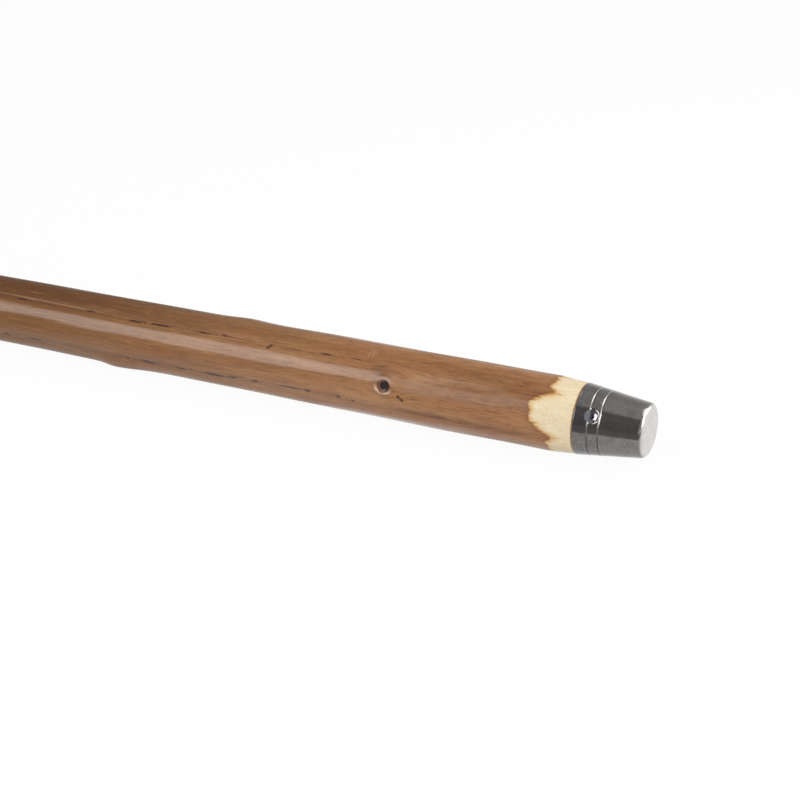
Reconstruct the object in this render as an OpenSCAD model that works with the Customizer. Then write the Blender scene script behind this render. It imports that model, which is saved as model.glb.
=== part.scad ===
// Hiking staff: a peeled, ribbed coppice pole, thick end down, pared to a cone at the foot
// and shod with a drawn steel cup ferrule that two brads hold.
// Each piece is drawn upright, with the ferrule's end face at zero and the crown at the top,
// and then laid down along X: tip towards +X, origin at the centre of the ferrule's end face.

/* [Pole] */
// Length of the staff, from the ferrule's end face to the crown
staff_len = 1200; // [900:10:1500]
// Radius of a rib's round at the foot
rib_r_foot = 10.9; // [9:0.1:13]
// Radius of a rib's round at the crown
rib_r_crown = 7.9; // [6.5:0.1:12]
// How far the centre of the boldest rib's round lies from the staff's axis
rib_offset = 2.95; // [1.5:0.05:4]
// How much larger the radius of the crown's dome is than the pole there
crown_dome_spare = 1.4; // [0.6:0.1:4]

/* [Growth] */
// Height of the swelling that each bud leaves on its rib
swelling_h = 0.75; // [0.3:0.05:1.5]
// Length of a swelling along the pole
swelling_len = 27; // [15:1:45]
// Radius of the round of a knot's raised collar
collar_r = 6; // [4:0.5:9]
// Height of a knot's collar above its rib
collar_h = 0.3; // [0.15:0.05:0.6]
// Radius of the hollow at a knot's heart
heart_r = 3; // [2:0.25:5]
// Depth of the hollow at a knot's heart, below the top of its collar
heart_depth = 0.4; // [0.2:0.05:0.8]

/* [Foot] */
// Radius of the bare wood at the ferrule's mouth
shoulder_r = 12.37; // [11.9:0.01:12.55]
// Angle between the pared foot's face and the staff's axis
paring_angle = 4.9; // [3:0.1:9]
// Chamfer at the end of the tenon
tenon_chamfer = 1.2; // [0.4:0.1:2.5]

/* [Ferrule] */
// Length of the ferrule
ferrule_len = 24; // [20:0.5:36]
// Outer radius at the ferrule's mouth
mouth_r = 12.6; // [12.6:0.05:13.2]
// Outer radius at the ferrule's end, before its edge is rounded
end_r = 9.5; // [8.5:0.1:11.5]
// Thickness of the ferrule's side
ferrule_wall = 1; // [0.7:0.05:1.3]
// Thickness of the ferrule's closed end
ferrule_end_wall = 1.8; // [1:0.1:3]
// Radius of the rounded edge at the ferrule's end
end_edge_r = 1.3; // [0.5:0.1:2.5]
// Chamfer round the outside of the ferrule's mouth
mouth_chamfer = 0.25; // [0.1:0.05:0.4]
// Distance from the ferrule's mouth to its first groove
first_groove_at = 5.1; // [3.5:0.1:6]
// Distance from the first groove to the second
groove_pitch = 3.8; // [2.5:0.1:5]
// Radius of the tool that turned the grooves
groove_r = 0.6; // [0.3:0.05:1]
// Depth of the grooves
groove_depth = 0.3; // [0.1:0.05:0.5]

/* [Brads] */
// Distance from the ferrule's mouth to the brads
brad_at = 6.2; // [5:0.1:9]
// Turn of the first brad round the staff, from straight up towards the back
brad_turn = -58.6; // [-180:0.1:180]
// Length of a brad under its head
brad_len = 8.5; // [5:0.5:9]
// Radius of a brad's shank
brad_shank_r = 0.5; // [0.35:0.05:0.7]
// Length of a brad's point
brad_point_len = 1.6; // [0.8:0.1:2.5]
// Radius of a brad's head
brad_head_r = 0.75; // [0.75:0.05:1.2]
// Height of a brad's domed head
brad_head_h = 0.45; // [0.3:0.05:0.7]
// Radius of the round punch that dented the ferrule under each brad
dent_r = 4.4; // [3:0.1:6]
// Depth of the dents
dent_depth = 0.8; // [0.4:0.05:1]

/* [Thong hole] */
// Radius of the hole for a wrist thong
thong_hole_r = 3; // [2:0.25:4]
// Distance from the crown to the thong hole
thong_hole_at = 110; // [60:5:200]

/* [Fits] */
// Gap that the glue fills between the tenon and the ferrule
glue_gap = 0.1; // [0.05:0.05:0.2]
// Clearance round the brads
brad_clearance = 0.05; // [0.02:0.01:0.1]

/* [Hidden] */
$fa = 3;
$fs = 0.4;
overrun = 2;

// Five ribs, unevenly spaced and not equally bold. The staff lies on the second and third.
rib_turns = [-70, -143, 143, 73, 4];
rib_bold_shares = [1, 0.93, 0.93, 0.97, 0.92];

// Buds spiral up the pole: place along the staff, the rib each sits on, height of its swelling.
// The staff lies on the four swellings of its second and third ribs, two near each end.
bud_place_shares = [0.079, 0.131, 0.176, 0.245, 0.315, 0.39, 0.467, 0.545, 0.63, 0.715, 0.83, 0.94, 0.965];
bud_ribs = [0, 4, 1, 2, 0, 4, 3, 0, 4, 3, 0, 1, 2];
bud_height_shares = [0.3, 0.95, 1, 1, 0.9, 0.7, 0.8, 0.75, 0.9, 0.8, 0.9, 1, 1];
// Buds that grew into a side shoot, which was cut off flush and left a knot
knotted_buds = [0, 4, 7, 9];

function rib_r(at) = rib_r_foot + (rib_r_crown - rib_r_foot) * at / staff_len;
function bud_at(bud) = bud_place_shares[bud] * staff_len;
function rib_reach(rib, at) = rib_offset * rib_bold_shares[rib] + rib_r(at);

ferrule_slope = (mouth_r - end_r) / ferrule_len;
side_wall = ferrule_wall * sqrt(1 + ferrule_slope * ferrule_slope);
function ferrule_r(at) = end_r + ferrule_slope * at;
function cavity_r(at) = ferrule_r(at) - side_wall;
function tenon_r(at) = cavity_r(at) - glue_gap;

tenon_end = ferrule_end_wall + glue_gap;
pole_reach_foot = rib_offset + rib_r_foot;
paring_end_r = pole_reach_foot + overrun;
paring_end = ferrule_len + (paring_end_r - shoulder_r) / tan(paring_angle);
crown_dome_r = rib_offset + rib_r_crown + crown_dome_spare;

groove_places = [ferrule_len - first_groove_at, ferrule_len - first_groove_at - groove_pitch];
brad_place = ferrule_len - brad_at;
brad_seat = ferrule_r(brad_place) - dent_depth;
brad_turns = [brad_turn, brad_turn + 180];
edge_centre = [end_r + ferrule_slope * end_edge_r - end_edge_r * side_wall / ferrule_wall, end_edge_r];
edge_steps = 8;

function arc(centre, r, from, to, steps) =
    [for (i = [0:steps]) centre + r * [cos(from + (to - from) * i / steps), sin(from + (to - from) * i / steps)]];

module lay_down() { rotate([0, -90, 0]) children(); }

// Stands its children on the face of a rib, with their Z pointing out of it
module on_rib(rib, at) {
    rotate([0, 0, rib_turns[rib]]) translate([rib_reach(rib, at), 0, at]) rotate([0, 90, 0]) children();
}

// Stands its children at each brad's seat, with their Z pointing out of the ferrule
module at_brads() {
    for (turn = brad_turns)
        rotate([0, 0, turn]) translate([brad_seat, 0, brad_place]) rotate([0, 90, 0]) children();
}

// The round of the dent's punch, grown by the walls that follow it
module dent_balls(grow = 0) {
    at_brads() translate([0, 0, dent_r]) sphere(r = dent_r + grow);
}

// Half outline of the bulge that a bud makes in its rib: a shallow arc standing on the taper
module swelling_outline(bud) {
    height = swelling_h * bud_height_shares[bud];
    arc_r = (swelling_len * swelling_len / 4 + height * height) / (2 * height);
    intersection() {
        translate([rib_r(bud_at(bud)) + height - arc_r, bud_at(bud)]) circle(r = arc_r, $fa = 1);
        translate([0, bud_at(bud) - swelling_len]) square([pole_reach_foot, 2 * swelling_len]);
    }
}

module rib(index) {
    rotate([0, 0, rib_turns[index]]) translate([rib_offset * rib_bold_shares[index], 0, 0])
        rotate_extrude() {
            polygon([[0, tenon_end], [rib_r(tenon_end), tenon_end], [rib_r_crown, staff_len], [0, staff_len]]);
            for (bud = [0:len(bud_ribs) - 1]) if (bud_ribs[bud] == index) swelling_outline(bud);
        }
}

// What the cutter takes off the foot: a long cone that runs out through the ribs in scallops,
// and the tenon that the ferrule goes over
module foot_paring() {
    rotate_extrude()
        polygon([
            [tenon_r(tenon_end) - tenon_chamfer, tenon_end - overrun],
            [tenon_r(tenon_end) - tenon_chamfer, tenon_end],
            [tenon_r(tenon_end + tenon_chamfer), tenon_end + tenon_chamfer],
            [tenon_r(ferrule_len), ferrule_len],
            [shoulder_r, ferrule_len],
            [paring_end_r, paring_end],
            [paring_end_r + overrun, paring_end],
            [paring_end_r + overrun, tenon_end - overrun]
        ]);
    dent_balls(ferrule_wall + glue_gap);
}

// What is turned off the crown to dome it
module crown_paring() {
    translate([0, 0, staff_len - crown_dome_r]) rotate_extrude() difference() {
        square([crown_dome_r + overrun, crown_dome_r + overrun]);
        circle(r = crown_dome_r);
    }
}

module shaft() {
    color([0.47, 0.28, 0.15]) lay_down() difference() {
        union() {
            for (index = [0:len(rib_turns) - 1]) rib(index);
            for (bud = knotted_buds)
                on_rib(bud_ribs[bud], bud_at(bud))
                    translate([0, 0, swelling_h * bud_height_shares[bud] + collar_h - collar_r]) sphere(r = collar_r);
        }
        foot_paring();
        crown_paring();
        for (bud = knotted_buds)
            on_rib(bud_ribs[bud], bud_at(bud))
                translate([0, 0, swelling_h * bud_height_shares[bud] + collar_h + heart_r - heart_depth])
                    sphere(r = heart_r);
        at_brads() translate([0, 0, -brad_len - brad_clearance])
            cylinder(r = brad_shank_r + brad_clearance, h = brad_len + dent_depth);
        translate([0, 0, staff_len - thong_hole_at]) rotate([0, 90, 0])
            cylinder(r = thong_hole_r, h = 2 * pole_reach_foot + overrun, center = true);
    }
}

module ferrule() {
    color([0.42, 0.42, 0.43]) lay_down() difference() {
        rotate_extrude() polygon(concat(
            [[0, 0]],
            arc(edge_centre, end_edge_r, -90, -atan(ferrule_slope), edge_steps),
            [
                [ferrule_r(ferrule_len - mouth_chamfer), ferrule_len - mouth_chamfer],
                [mouth_r - mouth_chamfer, ferrule_len],
                [0, ferrule_len]
            ]));
        difference() {
            rotate_extrude() polygon([
                [0, ferrule_end_wall],
                [cavity_r(ferrule_end_wall), ferrule_end_wall],
                [cavity_r(ferrule_len + overrun), ferrule_len + overrun],
                [0, ferrule_len + overrun]
            ]);
            dent_balls(ferrule_wall);
        }
        for (at = groove_places)
            rotate_extrude() translate([ferrule_r(at) + groove_r - groove_depth, at]) circle(r = groove_r);
        dent_balls();
        at_brads() {
            cylinder(r = brad_head_r + brad_clearance, h = dent_depth + overrun);
            translate([0, 0, -ferrule_wall - overrun])
                cylinder(r = brad_shank_r + brad_clearance, h = ferrule_wall + 2 * overrun);
        }
    }
}

module ferrule_brads() {
    dome_r = (brad_head_r * brad_head_r + brad_head_h * brad_head_h) / (2 * brad_head_h);
    dome_half_angle = acos((dome_r - brad_head_h) / dome_r);
    color([0.2, 0.2, 0.21]) lay_down() at_brads() rotate_extrude() polygon(concat(
        [[0, -brad_len], [brad_shank_r, brad_point_len - brad_len], [brad_shank_r, 0]],
        arc([0, brad_head_h - dome_r], dome_r, 90 - dome_half_angle, 90, edge_steps)));
}

shaft();
ferrule();
ferrule_brads();
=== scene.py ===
import math

import bpy
import numpy as np
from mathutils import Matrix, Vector


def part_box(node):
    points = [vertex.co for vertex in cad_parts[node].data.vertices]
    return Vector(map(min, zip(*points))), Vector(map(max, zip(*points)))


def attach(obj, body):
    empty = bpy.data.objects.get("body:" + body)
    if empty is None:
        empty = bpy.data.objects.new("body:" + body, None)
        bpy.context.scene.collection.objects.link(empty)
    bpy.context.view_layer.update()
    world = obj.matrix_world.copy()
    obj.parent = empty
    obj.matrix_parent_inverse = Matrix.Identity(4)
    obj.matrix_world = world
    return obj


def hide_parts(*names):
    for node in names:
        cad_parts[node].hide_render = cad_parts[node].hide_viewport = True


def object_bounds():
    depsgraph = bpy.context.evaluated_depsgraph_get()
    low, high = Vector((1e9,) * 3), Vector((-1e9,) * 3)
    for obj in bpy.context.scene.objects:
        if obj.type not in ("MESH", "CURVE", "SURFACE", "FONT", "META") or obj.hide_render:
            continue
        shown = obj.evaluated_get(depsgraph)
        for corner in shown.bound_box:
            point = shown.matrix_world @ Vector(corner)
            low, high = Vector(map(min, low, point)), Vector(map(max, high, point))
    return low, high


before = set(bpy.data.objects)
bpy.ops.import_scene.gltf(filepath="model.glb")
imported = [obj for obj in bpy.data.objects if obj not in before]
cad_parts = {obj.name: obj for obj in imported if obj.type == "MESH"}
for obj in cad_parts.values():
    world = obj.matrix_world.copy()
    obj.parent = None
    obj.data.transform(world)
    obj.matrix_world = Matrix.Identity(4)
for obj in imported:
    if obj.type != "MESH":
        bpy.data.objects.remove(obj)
cad_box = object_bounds()

# Shaft: one peeled coppice pole with five soft ribs, thick end down, browned by steam and varnished.
# The foot and the crown were turned after that, so the cutter ran out through the ribs in pale scallops.
# Its lengths are in millimetres up the staff from the tip; turns go from straight up towards the back.
MM = 0.001
staff_len = -cad_box[0].x / MM
rib_turns = np.radians([-70, -143, 143, 73, 4])
rib_offsets = 2.95 * np.array([1, 0.93, 0.93, 0.97, 0.92])
rib_r_foot, rib_r_crown = 10.9, 7.9
rib_blend = 0.12
rib_sway, rib_sway_from, rib_sway_len = math.radians(-8), 30, 450

# Each bud: its place as a share of the staff, its rib, and how far its swelling stands out,
# runs out towards the crown and runs out towards the foot
buds = [
    (0.079, 0, 0.04, 9, 9),
    (0.131, 4, 0.69, 9, 8),
    (0.177, 1, 0.98, 5.5, 12),
    (0.245, 2, 0.75, 7, 10),
    (0.315, 0, 0.6, 7, 10),
    (0.39, 4, 0.52, 7, 10),
    (0.467, 3, 0.6, 7, 10),
    (0.545, 0, 0.56, 7, 10),
    (0.63, 4, 0.67, 7, 10),
    (0.715, 3, 0.6, 7, 10),
    (0.83, 0, 0.67, 7, 10),
    (0.94, 1, 0.75, 7, 9),
    (0.965, 2, 0.75, 7, 9),
]
bud_half = math.radians(36)

# Some buds are knots: a hole in a raised lip, which stands higher above the hole than below it
knotted_buds = [0, 4, 7, 9]
knot_hole_r, knot_hole_depth, knot_slimness = 2.0, 0.8, 0.97
knot_lip_r, knot_lip_half, knot_lip_h = 2.9, 0.9, 0.17
knot_lip_mean, knot_lip_tip, knot_lip_tip_width = 1.1, 0.8, 1.5
knot_reach, knot_apart = 20, 30.0

# Where the cutter ran out of the ribs on the front: turn in degrees and place;
# the ribs are a little fuller or flatter there than elsewhere, which is gone further up
scallops = [
    (-176, 34.6), (-138, 32.8), (-116, 33.9), (-106, 32), (-96, 35.6), (-85.8, 38), (-73.2, 39.5),
    (-60.4, 40.3), (-50, 39), (-42, 36.8), (-33, 32.9), (-25, 35), (-16, 34.5), (-5, 33.9),
    (12, 33.7), (25, 34.4), (60, 36.5),
]
uneven_to, even_from = 42, 80

# The flute over the front rib has a sharp upper lip, where the peeling knife ran along it
lip_places = [140, 168, 190, 216, 260]
lip_turns = np.radians([-42.5, -44, -42.8, -39.8, -36.8])
channel_half, channel_depth = math.radians(5.5), 0.07
channel_from, channel_full = 120, 260

# Between its knot and the foot the front rib is flatter, and fuller on its lower side
lean_turn, lean_half = math.radians(-66), math.radians(26)
lean_slope, lean_flat, lean_drop = 0.085, 0.007, 0.55
lean_from, lean_to = (43, 56), (84, 93)

ferrule_len = -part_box("ferrule")[0].x / MM
ferrule_end_r, ferrule_mouth_r = 9.5, 12.6
shoulder_r, paring_slope = 12.37, math.tan(math.radians(4.9))
tenon_end, tenon_chamfer, tenon_inset = 1.9, 1.2, 1.108
crown_dome_r = 12.25
thong_hole_r, thong_hole_at = 3, staff_len - 110
floor_z, facing_floor = cad_box[0].z / MM, -0.5


def ferrule_r(at):
    """Radius of the ferrule's outside."""
    return ferrule_end_r + (ferrule_mouth_r - ferrule_end_r) * at / ferrule_len


def sway(at):
    """How far the ribs wind round the pole before they run straight again."""
    return rib_sway * np.sin(np.clip((at - rib_sway_from) / rib_sway_len, 0, 1) * math.pi)


def arc_between(turn, other):
    """The shorter way round from one turn to another."""
    return (turn - other + math.pi) % math.tau - math.pi


def ease(value, low, high):
    """0 up to low, 1 from high on, and smooth between."""
    share = np.clip((value - low) / (high - low), 0, 1)
    return share * share * (3 - 2 * share)


def rib_faces(at, turn):
    """Distances from the axis to the rounds of all ribs, the boldest last."""
    faces = []
    for rib, (rib_turn, offset) in enumerate(zip(rib_turns, rib_offsets)):
        r = rib_r_foot + (rib_r_crown - rib_r_foot) * at / staff_len
        away = arc_between(turn, rib_turn + sway(at))
        for share, bud_rib, height, up, down in buds:
            if bud_rib == rib:
                past = at - share * staff_len
                run_out = np.where(past > 0, up, down)
                r = r + height * np.exp(-((past / run_out) ** 2) - (away / bud_half) ** 2)
        faces.append(offset * np.cos(away) + np.sqrt(r * r - (offset * np.sin(away)) ** 2))
    return np.sort(faces, axis=0)


def knot_offsets(at, turn, r):
    """Offsets along and across the grain from a knot, and a third that is large away from all of them."""
    nearest = np.full((3,) + at.shape, knot_apart)
    for bud in knotted_buds:
        share, rib = buds[bud][:2]
        along = at - share * staff_len
        across = r * arc_between(turn, rib_turns[rib] + sway(share * staff_len))
        near = np.hypot(along, across) < knot_reach
        nearest = np.where(near, [along, across, np.zeros_like(at)], nearest)
    return nearest


def waver(at, turn):
    """The slight unevenness that peeling leaves, as a few long waves."""
    waves, wave_h, shortest, longest, most_lobes = 28, 0.012, 25, 160, 13
    chance = np.random.default_rng(7)
    total = np.zeros_like(at)
    for _ in range(waves):
        length = chance.uniform(shortest, longest)
        lobes = chance.integers(1, most_lobes + 1)
        phase = chance.uniform(0, math.tau)
        total = total + np.sin(at / length * math.tau + lobes * turn + phase)
    return wave_h * total


def even_pole_r(at, turn):
    """Radius of the peeled pole before its ends are turned, with the ribs alike all along."""
    faces = rib_faces(at, turn)
    blended = np.exp((faces - faces[-1]) / rib_blend).sum(axis=0)
    r = faces[-1] + rib_blend * np.log(blended) + waver(at, turn)

    below_lip = arc_between(turn, np.interp(at, lip_places, lip_turns) - channel_half) / channel_half
    r = r - channel_depth * np.exp(-(below_lip**4)) * ease(at, channel_from, channel_full)

    up_rib = arc_between(turn, lean_turn)
    leaning = np.exp(-((up_rib / lean_half) ** 4)) * ease(at, *lean_from) * (1 - ease(at, *lean_to))
    r = r + leaning * (lean_flat * (r * up_rib) ** 2 - lean_slope * r * up_rib - lean_drop)

    along, across, apart = knot_offsets(at, turn, r)
    from_knot = np.hypot(np.hypot(along * knot_slimness, across), apart)
    lip_h = knot_lip_h * (knot_lip_mean + knot_lip_tip * np.tanh(across / knot_lip_tip_width))
    r = r + lip_h * np.exp(-(((from_knot - knot_lip_r) / knot_lip_half) ** 2))
    r = r - knot_hole_depth * np.exp(-((from_knot / knot_hole_r) ** 6))

    # It lies on the floor, so no point that faces down reaches below that
    to_floor = floor_z / np.minimum(np.cos(turn), facing_floor)
    return np.minimum(r, np.where(np.cos(turn) < facing_floor, to_floor, staff_len))


def turned_r(at):
    """Radius of the cutter's face: a long cone at the foot and a dome at the crown."""
    up_dome = np.clip(at - (staff_len - crown_dome_r), 0, crown_dome_r)
    dome = np.where(up_dome > 0, np.sqrt(crown_dome_r**2 - up_dome**2), staff_len)
    return np.minimum(shoulder_r + paring_slope * (at - ferrule_len), dome)


scallop_turns, scallop_places = np.array(scallops).T
scallop_turns = np.radians(scallop_turns)
unevenness = turned_r(scallop_places) - even_pole_r(scallop_places, scallop_turns)
unevenness[[0, -1]] = 0


def pole_r(at, turn):
    """Radius of the peeled pole before its ends are turned."""
    uneven = np.interp(turn, scallop_turns, unevenness, period=math.tau)
    return even_pole_r(at, turn) + uneven * (1 - ease(at, uneven_to, even_from))


def ringed_mesh(name, stations, turns, radii):
    """A closed skin of rings round the staff's axis, closed by a fan at each end."""
    rings, columns = radii.shape
    stations = np.broadcast_to(np.reshape(stations, (rings, -1)), radii.shape)
    points = np.stack([-stations, radii * np.sin(turns), radii * np.cos(turns)], axis=-1).reshape(-1, 3)
    fan_middles = [[-stations[0].mean(), 0, 0], [-stations[-1].mean(), 0, 0]]
    first, last = rings * columns, rings * columns + 1
    faces = []
    for ring in range(rings - 1):
        low, high = ring * columns, (ring + 1) * columns
        for column in range(columns):
            beside = (column + 1) % columns
            faces.append((low + column, high + column, high + beside, low + beside))
    top = (rings - 1) * columns
    for column in range(columns):
        beside = (column + 1) % columns
        faces.append((first, column, beside))
        faces.append((last, top + beside, top + column))
    mesh = bpy.data.meshes.new(name)
    mesh.from_pydata(np.vstack([points, fan_middles]) * MM, [], faces)
    piece = bpy.data.objects.new(name, mesh)
    bpy.context.scene.collection.objects.link(piece)
    return piece


def drill_down(piece, x, radius, length):
    """Bores a round hole straight down through a piece."""
    bpy.ops.mesh.primitive_cylinder_add(vertices=72, radius=radius, depth=length, location=(x, 0, 0))
    bit = bpy.context.object
    cut = piece.modifiers.new("hole", "BOOLEAN")
    cut.operation, cut.solver, cut.object = "DIFFERENCE", "EXACT", bit
    bored = piece.evaluated_get(bpy.context.evaluated_depsgraph_get())
    piece.data = bpy.data.meshes.new_from_object(bored)
    piece.modifiers.clear()
    bpy.data.objects.remove(bit)


def smooth_but_for_edges(piece, degrees):
    """Shades a piece smooth, apart from edges sharper than this."""
    piece.data.shade_smooth()
    piece.data.set_sharp_from_angle(angle=math.radians(degrees))


# Its rings lie close together at the scallops, the scratches, the knots and the crown,
# and its columns on the front
tenon_stations = np.array([tenon_end, tenon_end + tenon_chamfer, 8, 14, 20, ferrule_len])
tenon_radii = ferrule_r(tenon_stations) - tenon_inset - np.array([tenon_chamfer, 0, 0, 0, 0, 0])
dome_turns = np.radians(np.linspace(64, 1.5, 24))
knot_stations = [buds[bud][0] * staff_len + np.arange(-4.2, 4.3, 0.42) for bud in knotted_buds]
body_stations = np.unique(np.concatenate([
    np.arange(ferrule_len, 46, 0.3),
    np.arange(46, 290, 1.4),
    np.arange(100, 107, 0.35),
    np.arange(290, staff_len - 8, 3.4),
    *knot_stations,
    staff_len - crown_dome_r + crown_dome_r * np.cos(dome_turns),
]))
shaft_turns = np.radians(np.concatenate([
    np.arange(-180, -117, 3.2),
    np.arange(-117, -20, 1.6),
    np.arange(-20, 178, 3.2),
]))
at_grid, turn_grid = np.meshgrid(body_stations, shaft_turns, indexing="ij")
body_radii = np.minimum(pole_r(at_grid, turn_grid), turned_r(at_grid))
tenon_rings = np.repeat(tenon_radii[:, None], len(shaft_turns), axis=1)
shaft_stations = np.concatenate([tenon_stations, body_stations])
shaft = ringed_mesh("peeled_shaft", shaft_stations, shaft_turns, np.vstack([tenon_rings, body_radii]))
drill_down(shaft, -thong_hole_at * MM, thong_hole_r * MM, 4 * rib_r_foot * MM)
smooth_but_for_edges(shaft, 40)


def points_of(piece):
    """Each point's place up the staff, turn round it and distance from its axis."""
    found = np.empty(len(piece.data.vertices) * 3, np.float32)
    piece.data.vertices.foreach_get("co", found)
    x, y, z = found.reshape(-1, 3).T / MM
    return -x, np.arctan2(y, z), np.hypot(y, z)


def mark(piece, name, values):
    """Keeps a number, or three, at each point of a piece for its finish to read."""
    values = np.asarray(values, np.float32)
    kind, field = ("FLOAT", "value") if values.ndim == 1 else ("FLOAT_VECTOR", "vector")
    layer = piece.data.attributes.new(name, kind, "POINT")
    layer.data.foreach_set(field, values.T.ravel())


# Short black scars in the flutes: place, turn in degrees, half length and half width
scars = [
    (253, -42, 2.5, 0.4), (221.5, -41, 2.4, 0.45), (201, -44.5, 3.2, 0.5), (190, -43, 4.6, 0.55),
    (171, -42, 2.5, 0.35), (162, -40, 1.5, 0.35), (143.3, -47, 0.7, 0.6), (142.4, -43, 0.7, 0.6),
    (120, -40, 2.6, 0.4), (107.6, -39, 2.2, 0.2), (260, -115, 2, 0.6), (246, -114, 4, 0.45),
    (203.5, -114.5, 0.7, 0.6), (195.4, -113.6, 1.5, 0.7), (192.2, -115.4, 0.9, 0.6), (180, -115, 2.8, 0.5),
    (165, -113, 5.2, 0.75), (156.7, -110, 1.4, 0.7), (147.6, -108.7, 1.8, 0.65), (133, -107.6, 6, 0.4),
    (125.3, -107.3, 1.1, 0.75), (113.1, -107, 1, 0.75), (107.3, -110, 1, 0.4), (88.8, -85, 0.7, 0.5),
    (87.3, -89.5, 0.8, 0.5),
]
# Further up and on the back they lie by chance: each flute's turn in degrees and its lowest scar
chance_flutes = [(-35, 275), (-107, 275), (180, 60), (108, 60), (38, 60)]
scars_end, scar_gap, least_scar_gap = 1150, 45, 6
chance = np.random.default_rng(11)
for flute_degrees, scar_at in chance_flutes:
    while scar_at < scars_end:
        scar_degrees = flute_degrees + chance.normal(0, 2.5)
        scar_half_len = chance.uniform(0.9, 4.5)
        scar_half_width = chance.uniform(0.35, 0.6)
        scars.append((scar_at, scar_degrees, scar_half_len, scar_half_width))
        scar_at += chance.exponential(scar_gap) + least_scar_gap
# Pale scratches and a chip, where the brown is rubbed through, in the same way
scratches = [
    (103.8, -22, 0.2, 3), (102.4, -20.5, 0.22, 2.8), (101.4, -21, 0.16, 1.6), (144.7, -137, 0.9, 0.6),
]
# Soft dark stains, in the same way
stains = [
    (74, -109.5, 15, 1.2), (52, -112, 9, 0.9), (98.5, -46, 4, 1.6), (97.5, -57, 2.2, 0.8),
    (196, -113, 50, 0.8), (140, -107, 28, 0.35), (170, -42.5, 50, 0.35), (240, -43, 30, 0.3),
    (31.2, -34, 1.8, 0.5), (31, -106, 1.8, 0.5),
]
mark_reach, mark_apart = 4, 6.0


def mark_offsets(marks, at, turn, r):
    """Offsets along and across the nearest mark as shares of its half sizes.
    A third number is large away from all of them."""
    nearest = np.full((3,) + at.shape, mark_apart)
    for place, degrees, half_len, half_width in marks:
        along = (at - place) / half_len
        across = r * arc_between(turn, math.radians(degrees)) / half_width
        near = (np.abs(along) < mark_reach) & (np.abs(across) < mark_reach)
        near = near & (np.hypot(along, across) < np.linalg.norm(nearest, axis=0))
        nearest = np.where(near, [along, across, np.zeros_like(at)], nearest)
    return nearest


def staining(at, turn, r):
    """How dark the stains are at a place, from 0 to 1."""
    found = np.zeros_like(at)
    for place, degrees, half_len, half_width in stains:
        across = r * arc_between(turn, math.radians(degrees))
        found = np.maximum(found, np.exp(-(((at - place) / half_len) ** 2) - (across / half_width) ** 2))
    return found


def cut_depth(at, turn):
    """How much wood the cutter takes off; less than none where it misses."""
    return pole_r(at, turn) - turned_r(at)


def past_edge(at, turn):
    """How far in from the cutter's edge a point of its face lies; less than none on the browned skin."""
    step, least_steepness = 0.15, 0.05
    turn_step = step / rib_r_foot
    along = (cut_depth(at + step, turn) - cut_depth(at - step, turn)) / (2 * step)
    across = (cut_depth(at, turn + turn_step) - cut_depth(at, turn - turn_step)) / (2 * step)
    return cut_depth(at, turn) / np.maximum(np.hypot(along, across), least_steepness)


at, turn, r = points_of(shaft)
faces_there = rib_faces(at, turn)
flute_lip = np.interp(at, lip_places, lip_turns)

# The wall of the thong hole is bare as well
near_hole = np.abs(at - thong_hole_at) < 2 * thong_hole_r
skin_left = 0.4
bored = 4 * (pole_r(at, turn) - r - skin_left)

# The grain gives way to the knots: by how much, and how far along and across
grain_bend, bend_len, bend_width = 0.8, 7, 4.5
knots = knot_offsets(at, turn, r)
flow = grain_bend * knots[1] * np.exp(-((knots[0] / bend_len) ** 2) - (knots[1] / bend_width) ** 2)
grain_turn = turn - flow / np.maximum(r, 1) - sway(at)

mark(shaft, "pared", np.clip(np.where(near_hole, bored, past_edge(at, turn)), -5, 20))
mark(shaft, "flute", faces_there[-1] - faces_there[-2])
mark(shaft, "lip", np.clip(r * arc_between(turn, flute_lip), -5, 5))
mark(shaft, "stain", staining(at, turn, r))
mark(shaft, "scar", mark_offsets(scars, at, turn, r))
mark(shaft, "scratch", mark_offsets(scratches, at, turn, r))
mark(shaft, "knot", knots)
mark(shaft, "grain", np.stack([at, r * np.sin(grain_turn), r * np.cos(grain_turn)]))


def fold_for_bake(piece, strips, hole_band):
    """Folds the long skin into side by side strips, so that a baked picture is as fine along as across.
    The wall of the hole has a band of its own, at the top."""
    layer = piece.data.uv_layers.new(name="OFBake")
    at, turn, _ = points_of(piece)
    strip_len, hole_len = staff_len / strips, 4 * rib_r_foot
    margin, hole_margin, facing_axis = 0.01, 0.1, -0.9
    for face in piece.data.polygons:
        middle = face.center / MM
        from_bit = Vector((middle.x + thong_hole_at, middle.y, 0))
        in_hole = from_bit.length < thong_hole_r and face.normal.dot(from_bit.normalized()) < facing_axis
        strip = min(int(-middle.x / strip_len), strips - 1)
        middle_turn = math.atan2(middle.y, middle.z) % math.tau
        middle_hole_turn = math.atan2(from_bit.y, from_bit.x) % math.tau
        for loop in face.loop_indices:
            vertex = piece.data.loops[loop].vertex_index
            if in_hole:
                point = piece.data.vertices[vertex].co / MM
                hole_turn = math.atan2(point.y, point.x + thong_hole_at)
                hole_turn = middle_hole_turn + arc_between(hole_turn, middle_hole_turn)
                up_band = hole_margin + (1 - 2 * hole_margin) * hole_turn / math.tau
                uv = (0.5 + point.z / hole_len, 1 - hole_band + hole_band * up_band)
            else:
                vertex_turn = middle_turn + arc_between(turn[vertex], middle_turn)
                across = (strip + margin + (1 - 2 * margin) * vertex_turn / math.tau) / strips
                along = margin + (1 - 2 * margin) * (at[vertex] / strip_len - strip)
                uv = (along, (1 - hole_band) * across)
            layer.data[loop].uv = uv


fold_for_bake(shaft, strips=4, hole_band=0.04)


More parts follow.
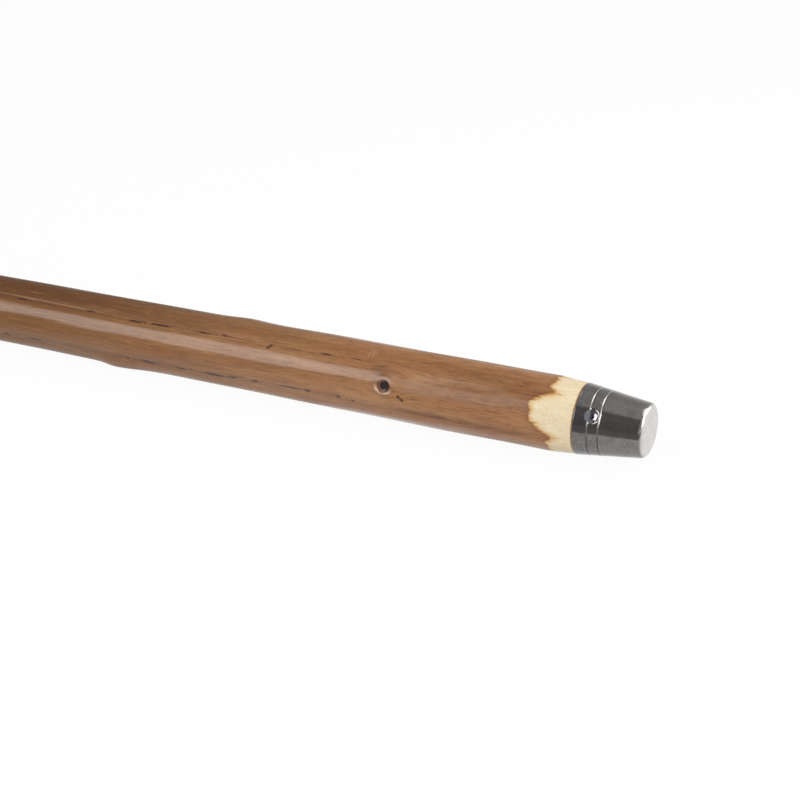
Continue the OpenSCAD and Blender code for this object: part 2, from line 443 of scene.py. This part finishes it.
class Tone:
    """A value or colour that changes over a surface: one socket in a finish's node tree."""

    def __init__(self, tree, socket=None):
        self.tree, self.socket = tree, socket

    def node(self, kind, settings=None, inputs=None, output=0):
        """Adds a node, sets it up, sets or links its sockets and gives one of its outputs."""
        made = self.tree.nodes.new(kind)
        for name, value in (settings or {}).items():
            setattr(made, name, value)
        for name, value in (inputs or {}).items():
            if isinstance(value, Tone):
                self.tree.links.new(value.socket, made.inputs[name])
            else:
                made.inputs[name].default_value = value
        return Tone(self.tree, made.outputs[output])

    def other(self, output):
        """Another output of the node that this comes from."""
        return Tone(self.tree, self.socket.node.outputs[output])

    def maths(self, operation, first, second):
        return self.node("ShaderNodeMath", {"operation": operation}, {0: first, 1: second})

    def __add__(self, other):
        return self.maths("ADD", self, other)

    def __sub__(self, other):
        return self.maths("SUBTRACT", self, other)

    def __rsub__(self, other):
        return self.maths("SUBTRACT", other, self)

    def __mul__(self, other):
        return self.maths("MULTIPLY", self, other)

    __radd__, __rmul__ = __add__, __mul__

    def larger(self, other):
        return self.maths("MAXIMUM", self, other)

    def rise(self, low, high):
        """0 up to low, 1 from high on, and smooth between; high may be the smaller."""
        if high < low:
            return 1 - self.rise(high, low)
        return self.node("ShaderNodeMapRange", {"interpolation_type": "SMOOTHSTEP"},
                         {"Value": self, "From Min": low, "From Max": high})

    def between(self, first, second):
        """A colour from first to second as this goes from 0 to 1."""
        return self.node("ShaderNodeMix", {"data_type": "RGBA"}, {0: self, 6: first, 7: second}, output=2)

    def vector_maths(self, operation, second, output="Vector"):
        return self.node("ShaderNodeVectorMath", {"operation": operation}, {0: self, 1: second}, output)

    def length(self):
        return self.node("ShaderNodeVectorMath", {"operation": "LENGTH"}, {0: self}, "Value")

    def split(self):
        """The first of a vector's three numbers; the others are its other outputs, Y and Z."""
        return self.node("ShaderNodeSeparateXYZ", {}, {0: self})

    def speckle(self, along, across, detail=2.0):
        """Noise over these places, drawn out along the grain: the sizes of its spots in their units."""
        drawn = self.vector_maths("MULTIPLY", (1 / along, 1 / across, 1 / across))
        return self.node("ShaderNodeTexNoise", {}, {"Vector": drawn, "Scale": 1, "Detail": detail})

    def kept(self, name, output="Fac"):
        """What mark kept at the points: a number, or three by way of the output Vector."""
        return self.node("ShaderNodeAttribute", {"attribute_name": name}, output=output)


def colour(red, green, blue):
    """A colour written in the eight bits of a screen, as the shader's own linear values."""
    return tuple(((c / 255 + 0.055) / 1.055) ** 2.4 for c in (red, green, blue)) + (1,)


def new_finish(name):
    """A material, its shader and an empty tone to start its tree from."""
    material = bpy.data.materials.new(name)
    material.use_nodes = True
    return material, material.node_tree.nodes["Principled BSDF"], Tone(material.node_tree)


def feed(shader, **tones):
    """Links tones to the sockets of a shader that they are named for."""
    for name, tone in tones.items():
        shader.id_data.links.new(tone.socket, shader.inputs[name.replace("_", " ")])


wood, wood_shader, start = new_finish("browned_and_pared_wood")
grain = start.kept("grain", "Vector")
pared = start.kept("pared")
flute = start.kept("flute")
lip = start.kept("lip")
stain = start.kept("stain")
scar = start.kept("scar", "Vector").length()
scratch = start.kept("scratch", "Vector").length()
knot = start.kept("knot", "Vector")
up_staff = grain.split()
topmost = up_staff.other("Z")

clouds = grain.speckle(45, 5, 3)
warmth = grain.speckle(24, 6, 2)
streaks = grain.speckle(17, 0.8, 3)
fibres = grain.speckle(5, 0.42, 3)
flecks = grain.speckle(2.6, 0.5, 2)
crumbs = grain.speckle(0.7, 0.5, 2)

# Golden brown, deeper further up, with darker and paler streaks along the grain
brown = clouds.rise(0.32, 0.68).between(colour(141, 98, 62), colour(160, 116, 78))
brown = (warmth.rise(0.45, 0.62) * 0.4).between(brown, colour(146, 94, 62))
brown = (up_staff.rise(100, 280) * 0.9).between(brown, colour(113, 72, 32))
# Painted shade: further up, the top of the staff is painted darker, as if less light fell on it
brown = (up_staff.rise(90, 260) * topmost.rise(8.5, 12.4) * 0.64).between(brown, colour(80, 50, 30))
# Painted shade: near the foot the upper flank is painted darker as well
shaded_flank = topmost.rise(0, 8) * topmost.rise(13.4, 11.4)
brown = (up_staff.rise(95, 60) * shaded_flank * 0.4).between(brown, colour(112, 75, 48))
brown = (streaks.rise(0.5, 0.72) * 0.36).between(brown, colour(98, 65, 42))
brown = (streaks.rise(0.46, 0.26) * 0.2).between(brown, colour(176, 130, 82))
dark_fibres = fibres.rise(0.5, 0.72) * (0.36 + 0.22 * up_staff.rise(105, 80))
brown = dark_fibres.between(brown, colour(92, 60, 39))
brown = (fibres.rise(0.46, 0.3) * 0.18).between(brown, colour(180, 134, 88))
dark_flecks = flecks.rise(0.58, 0.74)
brown = (dark_flecks * 0.42).between(brown, colour(84, 53, 34))

# A painted highlight along the lip's sharp edge, dirt in the flutes, stains, scars and scratches
lip_highlight = (lip * lip).rise(0.1, 0) * up_staff.rise(130, 150) * up_staff.rise(330, 270)
lip_highlight = lip_highlight * (0.2 + 0.2 * grain.speckle(12, 2, 2).rise(0.4, 0.56))
brown = lip_highlight.between(brown, colour(188, 146, 104))
dirt = flute.rise(0.25, 0.03) * grain.speckle(14, 0.7, 2).rise(0.5, 0.62)
patches = stain * (0.2 + 0.65 * grain.speckle(9, 1.1, 3).rise(0.36, 0.62))
brown = patches.larger(dirt * 0.35).between(brown, colour(80, 49, 42))
dashes = (scar + (crumbs - 0.5) * 1.3).rise(1.15, 0.65)
brown = (dashes * 0.85).between(brown, colour(52, 33, 28))
rubbed_through = (scratch + (crumbs - 0.5) * 0.8).rise(1.1, 0.4)
brown = (rubbed_through * 0.4).between(brown, colour(206, 170, 128))

# A knot: a black heart in a brown wall, a pale crescent of callus below, a painted highlight above and a dark
# rim
from_knot = knot.length() + (crumbs - 0.5) * 0.5 + (grain.speckle(1.7, 1.5, 2) - 0.5) * 0.8
below_knot = knot.vector_maths("DOT_PRODUCT", (0.08, -0.4, 0), "Value")
eye = knot.vector_maths("MULTIPLY", (0.78, 1, 1)).length() + (crumbs - 0.5) * 0.5
lower_callus = eye.rise(3.2, 2.6) * below_knot.rise(-0.1, 0.8)
upper_knot_highlight = eye.rise(4.2, 2.9) * below_knot.rise(-0.2, -1)
heart = knot.vector_maths("ADD", (0.35, -0.3, 0)).length() + (crumbs - 0.5) * 2
brown = (from_knot.rise(5.5, 2.8) * 0.4).between(brown, colour(100, 64, 44))
# Painted highlight: a pale crescent above the heart, where the raised lip catches the light
brown = (upper_knot_highlight * 0.35).between(brown, colour(196, 168, 154))
brown = (lower_callus * 0.75).between(brown, colour(216, 184, 162))
brown = (from_knot.rise(2.55, 2.35) * 0.95).between(brown, colour(116, 75, 52))
brown = (heart.rise(2.2, 1.6) * 0.97).between(brown, colour(30, 23, 22))

# Pared wood, with a honey fringe where the varnish ran under the cutter's edge, in streaks along the grain,
# and a painted shade line along the ferrule's mouth, where the wood meets it
pale = grain.speckle(5, 1.4, 3).rise(0.3, 0.7).between(colour(224, 209, 180), colour(217, 200, 166))
pale = (grain.speckle(0.9, 0.36, 2).rise(0.48, 0.64) * 0.55).between(pale, colour(206, 182, 141))
ragged = grain.speckle(3.5, 0.36, 3) - 0.5
fringe = pared + ragged * 3.2
# Painted shade: a dark ring on the pared wood at the ferrule's mouth
mouth_shade = up_staff.rise(ferrule_len + 0.65, ferrule_len + 0.3)
pale = (stain * (0.3 + streaks)).between(pale, colour(168, 116, 62))
pale = (fringe.rise(2.7, 0.2) * 0.75).between(pale, colour(206, 166, 102))
pale = (fringe.rise(1.0, 0.0) * 0.9).between(pale, colour(158, 106, 56))
pale = (mouth_shade * 0.85).between(pale, colour(120, 78, 26))
brown = (pared.rise(-1.6, 0) * 0.3).between(brown, colour(104, 64, 36))
skin = (pared + ragged * 0.9).rise(-0.12, 0.16).between(brown, pale)

# The varnish is thicker further up, and underneath about the knot; far up it is thinner on top and underneath
bare = pared.rise(0, 1.5)
underneath, on_top = topmost.rise(-3, -9), topmost.rise(9, 12.5)
varnish = 0.22 + up_staff.rise(78, 112) * 0.3
varnish = varnish + underneath * (up_staff.rise(128, 104) * 0.62 - up_staff.rise(72, 50) * 0.27)
varnish = varnish - (underneath + on_top) * up_staff.rise(150, 230) * 0.24
relief = streaks * 0.6 + fibres * 0.4 - dashes - dark_flecks * 0.25
wood_bump = {"Strength": 0.5, "Distance": 0.16 * MM, "Height": relief}
feed(wood_shader, Base_Color=skin, Roughness=0.5 + (streaks - 0.5) * 0.3 + bare * 0.1,
     Coat_Weight=varnish - (bare * 0.12).larger(dashes * 0.12),
     Normal=start.node("ShaderNodeBump", {}, wood_bump))
wood_shader.inputs["Coat Roughness"].default_value = 0.16
wood_shader.inputs["Specular IOR Level"].default_value = 0.15
shaft.data.materials.append(wood)
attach(shaft, "root")
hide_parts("shaft")

# Ferrule: a cup drawn from steel sheet, with two grooves turned round it and a flat end that wears bright.
# It is glued over the tenon and punched in under each brad, which flattens the grooves there.
ferrule_wall, ferrule_end_wall = 1.0, 1.8
end_edge_r, mouth_edge_r = 2.0, 0.3
groove_places, groove_half, groove_depth = (18.9, 15.1), 0.24, 0.12
brad_at, brad_turns = 17.8, np.radians([-58.6, 121.4])
dent_depth, punch_r, dent_rim, groove_flattened = 0.8, 4.4, 0.06, 0.2
ferrule_columns, close_rings, wide_rings, close_from = 288, 0.09, 0.5, 13.5


def dents(at, turn):
    """How far the punch drove the sheet in."""
    found = np.zeros_like(at)
    for brad_turn in brad_turns:
        far = np.hypot(at - brad_at, ferrule_r(brad_at) * arc_between(turn, brad_turn))
        punch = dent_depth - punch_r + np.sqrt(np.maximum(punch_r**2 - far**2, 0))
        found = found + dent_rim * np.log1p(np.exp(punch / dent_rim))
    return found


def grooves(at):
    """How deep the two grooves are turned in."""
    return groove_depth * sum(np.exp(-(((at - place) / groove_half) ** 2)) for place in groove_places)


def quarter(centre_at, centre_r, radius, start_degrees, end_degrees, steps):
    """An arc of the half outline, from one angle to another: 0 points outwards, 90 up the staff."""
    angles = np.radians(np.linspace(start_degrees, end_degrees, steps))
    return np.stack([centre_at + radius * np.sin(angles), centre_r + radius * np.cos(angles)], axis=-1)


inside = np.arange(ferrule_len - 0.1, ferrule_end_wall, -wide_rings)
outside = np.concatenate([
    np.arange(ferrule_len - mouth_edge_r - 0.1, close_from, -close_rings),
    np.arange(close_from, end_edge_r + 0.2, -wide_rings),
])
side_slope = math.degrees(math.atan((ferrule_mouth_r - ferrule_end_r) / ferrule_len))
edge_centre_r = ferrule_r(end_edge_r) - end_edge_r / math.cos(math.radians(side_slope))
outline = np.vstack([
    [(ferrule_end_wall, share * (ferrule_r(ferrule_end_wall) - ferrule_wall)) for share in (0.3, 0.7, 0.98)],
    np.stack([inside, ferrule_r(inside) - ferrule_wall], axis=-1)[::-1],
    quarter(ferrule_len - mouth_edge_r, ferrule_mouth_r - mouth_edge_r, mouth_edge_r, 90, 0, 7),
    np.stack([outside, ferrule_r(outside)], axis=-1),
    quarter(end_edge_r, edge_centre_r, end_edge_r, -side_slope, -90, 18),
    [(0, share * edge_centre_r) for share in (0.94, 0.8, 0.6, 0.4, 0.2, 0.05)],
])
outline_at, outline_r = outline.T
ferrule_turns = np.linspace(0, math.tau, ferrule_columns, endpoint=False)
ferrule_at, ferrule_turn = np.meshgrid(outline_at, ferrule_turns, indexing="ij")
is_side = (outline_r > ferrule_r(outline_at) - 1.5 * ferrule_wall)[:, None] * (ferrule_at > end_edge_r)
is_outer = (outline_r > ferrule_r(outline_at) - 0.5 * ferrule_wall)[:, None] * is_side
punched = dents(ferrule_at, ferrule_turn)
turned = grooves(ferrule_at) * np.exp(-((punched / groove_flattened) ** 2))
ferrule_radii = outline_r[:, None] - is_side * punched - is_outer * turned
ferrule = ringed_mesh("steel_ferrule", outline_at, ferrule_turns, ferrule_radii)
smooth_but_for_edges(ferrule, 40)
at, turn, r = points_of(ferrule)
mark(ferrule, "dent", dents(at, turn) / dent_depth)

steel, steel_shader, start = new_finish("drawn_steel")
steel_place = start.node("ShaderNodeTexCoord", output="Object")
turning = steel_place.speckle(0.12 * MM, 20 * MM, 2)
mottle = steel_place.speckle(4 * MM, 3.5 * MM, 4)
specks = steel_place.speckle(0.6 * MM, 0.6 * MM, 2)
from_end = steel_place.split()
# Painted light: 1 low on the ferrule and 0 high up, which paints the grooves dark below and bright above
groove_shade_below = from_end.other("Z").rise(4 * MM, -2 * MM)
dent = start.kept("dent")
side = from_end.rise(-24 * MM, -8 * MM).between(colour(114, 111, 111), colour(126, 122, 119))
side = (mottle.rise(0.4, 0.7) * 0.4).between(side, colour(92, 89, 89))
side = (specks.rise(0.5, 0.75) * 0.45).between(side, colour(164, 159, 153))

# The grooves are matt, with a painted highlight in their upper half and painted shade in their lower half
groove_full, groove_gone = 0.1, 0.27
groove_lines = []
for groove_place in groove_places:
    upper_side = from_end.rise(-(groove_place + groove_gone) * MM, -(groove_place + groove_full) * MM)
    lower_side = from_end.rise(-(groove_place - groove_gone) * MM, -(groove_place - groove_full) * MM)
    groove_lines.append(upper_side * lower_side)
in_groove = groove_lines[0].larger(groove_lines[1])
side = in_groove.between(side, groove_shade_below.between(colour(178, 174, 169), colour(70, 67, 67)))
side = dent.rise(0.02, 0.3).between(side, colour(124, 123, 129))

# The end is worn bright, and so is its edge a little way up
worn = (from_end + (mottle - 0.5) * 0.06 * MM).rise(-1.15 * MM, -0.1 * MM)
end = mottle.rise(0.35, 0.65).between(colour(205, 201, 197), colour(215, 212, 208))
steel_bump = {"Strength": 0.08, "Distance": 0.02 * MM, "Height": turning + mottle}
feed(steel_shader, Base_Color=worn.between(side, end),
     Roughness=0.15 + (mottle - 0.5) * 0.12 + worn * 0.12 + in_groove * 0.2,
     Normal=start.node("ShaderNodeBump", {}, steel_bump))
steel_shader.inputs["Metallic"].default_value = 1
ferrule.data.materials.append(steel)
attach(ferrule, "root")
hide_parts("ferrule")

# Brads: two small round-headed steel brads, one on each side, driven through the dents into the tenon.
# Their heads are blued, and a little paler where they are rubbed.
blued, blued_shader, start = new_finish("blued_brad_steel")
rubbed = start.node("ShaderNodeTexCoord", output="Object").speckle(0.4 * MM, 0.4 * MM, 3)
feed(blued_shader, Base_Color=rubbed.rise(0.4, 0.65).between(colour(36, 35, 38), colour(62, 60, 61)),
     Roughness=0.08 + rubbed * 0.1)
blued_shader.inputs["Metallic"].default_value = 1
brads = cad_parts["ferrule_brads"]
brads.data.materials.clear()
brads.data.materials.append(blued)


# Floor: a plain white sheet that the staff lies on, white where it is seen, which still takes the shadow.
# In reflections it is dark in front, where the room is unlit.
def grey(level):
    return (level, level, level, 1)


floor_half = 4
floor_middle = -staff_len * MM / 2
floor_corners = [(-1, -1), (1, -1), (1, 1), (-1, 1)]
floor_points = [(floor_half * x + floor_middle, floor_half * y, cad_box[0].z) for x, y in floor_corners]
floor_mesh = bpy.data.meshes.new("floor")
floor_mesh.from_pydata(floor_points, [], [(0, 1, 2, 3)])
floor = bpy.data.objects.new("floor", floor_mesh)
bpy.context.scene.collection.objects.link(floor)
sheet, sheet_shader, start = new_finish("white_sheet")
sheet_shader.inputs["Base Color"].default_value = grey(0.9)
sheet_shader.inputs["Roughness"].default_value = 0.9
path = start.node("ShaderNodeLightPath", output="Is Camera Ray")
glossy = path.other("Is Glossy Ray")
seen = path.larger(glossy).larger(path.other("Is Transmission Ray"))
across_sheet = start.node("ShaderNodeTexCoord", output="Object").split().other("Y")
in_front = across_sheet.rise(-0.042, -0.047) * glossy
glow = start.node("ShaderNodeEmission", {}, {"Color": in_front.between(grey(1), grey(0.3)), "Strength": 1})
matt_sheet = Tone(sheet.node_tree, sheet_shader.outputs["BSDF"])
mixed = start.node("ShaderNodeMixShader", {}, {0: seen * 0.95, 1: matt_sheet, 2: glow})
sheet.node_tree.links.new(mixed.socket, sheet.node_tree.nodes["Material Output"].inputs["Surface"])
floor_mesh.materials.append(sheet)


# Light: a large soft box to the left of the camera draws the stripe along the varnish; three small ones
# light the tip. In reflections the room is pale low down, grey above, and dark before the staff and far left.
def soft_box(name, location, target, width, height, watts):
    """A lamp behind a square of white cloth, turned towards a point."""
    lamp = bpy.data.lights.new(name, "AREA")
    lamp.shape, lamp.size, lamp.size_y, lamp.energy = "RECTANGLE", width, height, watts
    box = bpy.data.objects.new(name, lamp)
    box.location = location
    box.visible_camera = False
    box.rotation_euler = (Vector(target) - Vector(location)).to_track_quat("-Z", "Y").to_euler()
    bpy.context.scene.collection.objects.link(box)


soft_box("left_soft_box", (-1.75, -2.2, 1.7), (-0.15, 0, 0), 2.0, 2.1, 72)
soft_box("tip_soft_box", (0.32, 0.22, 0.56), (0, 0, 0), 0.42, 0.7, 2.9)
soft_box("right_soft_box", (1.2, -0.1, 0.8), (0, 0, 0), 0.8, 1.1, 8.5)
soft_box("back_soft_box", (0.85, 1.05, 0.42), (0, 0, 0), 0.7, 0.45, 1.6)

room = bpy.data.worlds.new("room")
bpy.context.scene.world = room
room.use_nodes = True
start = Tone(room.node_tree)
path = start.node("ShaderNodeLightPath", output="Is Camera Ray")
glossy = path.other("Is Glossy Ray")
seen = path.larger(glossy).larger(path.other("Is Transmission Ray"))
outlook = start.node("ShaderNodeTexCoord", output="Generated")
sideways = outlook.split()
height = sideways.other("Z")

dark_side = Vector((0.1, -0.91, 0.4)).normalized()
dusk, dark = math.cos(math.radians(44)), math.cos(math.radians(34))
gloom = outlook.vector_maths("DOT_PRODUCT", dark_side, "Value").rise(dusk, dark)
gloom = gloom * sideways.rise(0.4, 0.15) * glossy
ceiling = sideways.rise(-0.12, -0.38).between(grey(0.75), grey(0.25))
seen_room = (height.rise(0.1, 0.5) * glossy).between(grey(1), ceiling)
seen_room = (sideways.rise(-0.36, -0.5) * glossy).between(seen_room, grey(0.28))
seen_room = gloom.between(seen_room, grey(0.26))
lit_room = height.rise(0, 0.9).between(grey(0.52), grey(0.12))
lighting = start.node("ShaderNodeBackground", {}, {"Color": lit_room, "Strength": 1})
backdrop = start.node("ShaderNodeBackground", {}, {"Color": seen_room, "Strength": 1})
both = start.node("ShaderNodeMixShader", {}, {0: seen, 1: lighting, 2: backdrop})
room.node_tree.links.new(both.socket, room.node_tree.nodes["World Output"].inputs["Surface"])

# Camera: it stands before the tip, a little above the staff, and looks along it from the right.
# Its angles are in degrees: how far it looks down, and how far it swings to the left.
looks_down, swings_left = 23.88, 25.657
camera_data = bpy.data.cameras.new("camera")
camera_data.sensor_width = 36
camera_data.lens = 82.3
camera_data.clip_start, camera_data.clip_end = 0.01, 50
camera = bpy.data.objects.new("camera", camera_data)
camera.location = (0.1674, -0.5451, 0.2612)
camera.rotation_euler = (math.radians(90 - looks_down), 0, math.radians(swings_left))
bpy.context.scene.collection.objects.link(camera)
bpy.context.scene.camera = camera
bpy.context.scene.view_settings.view_transform = "Standard"
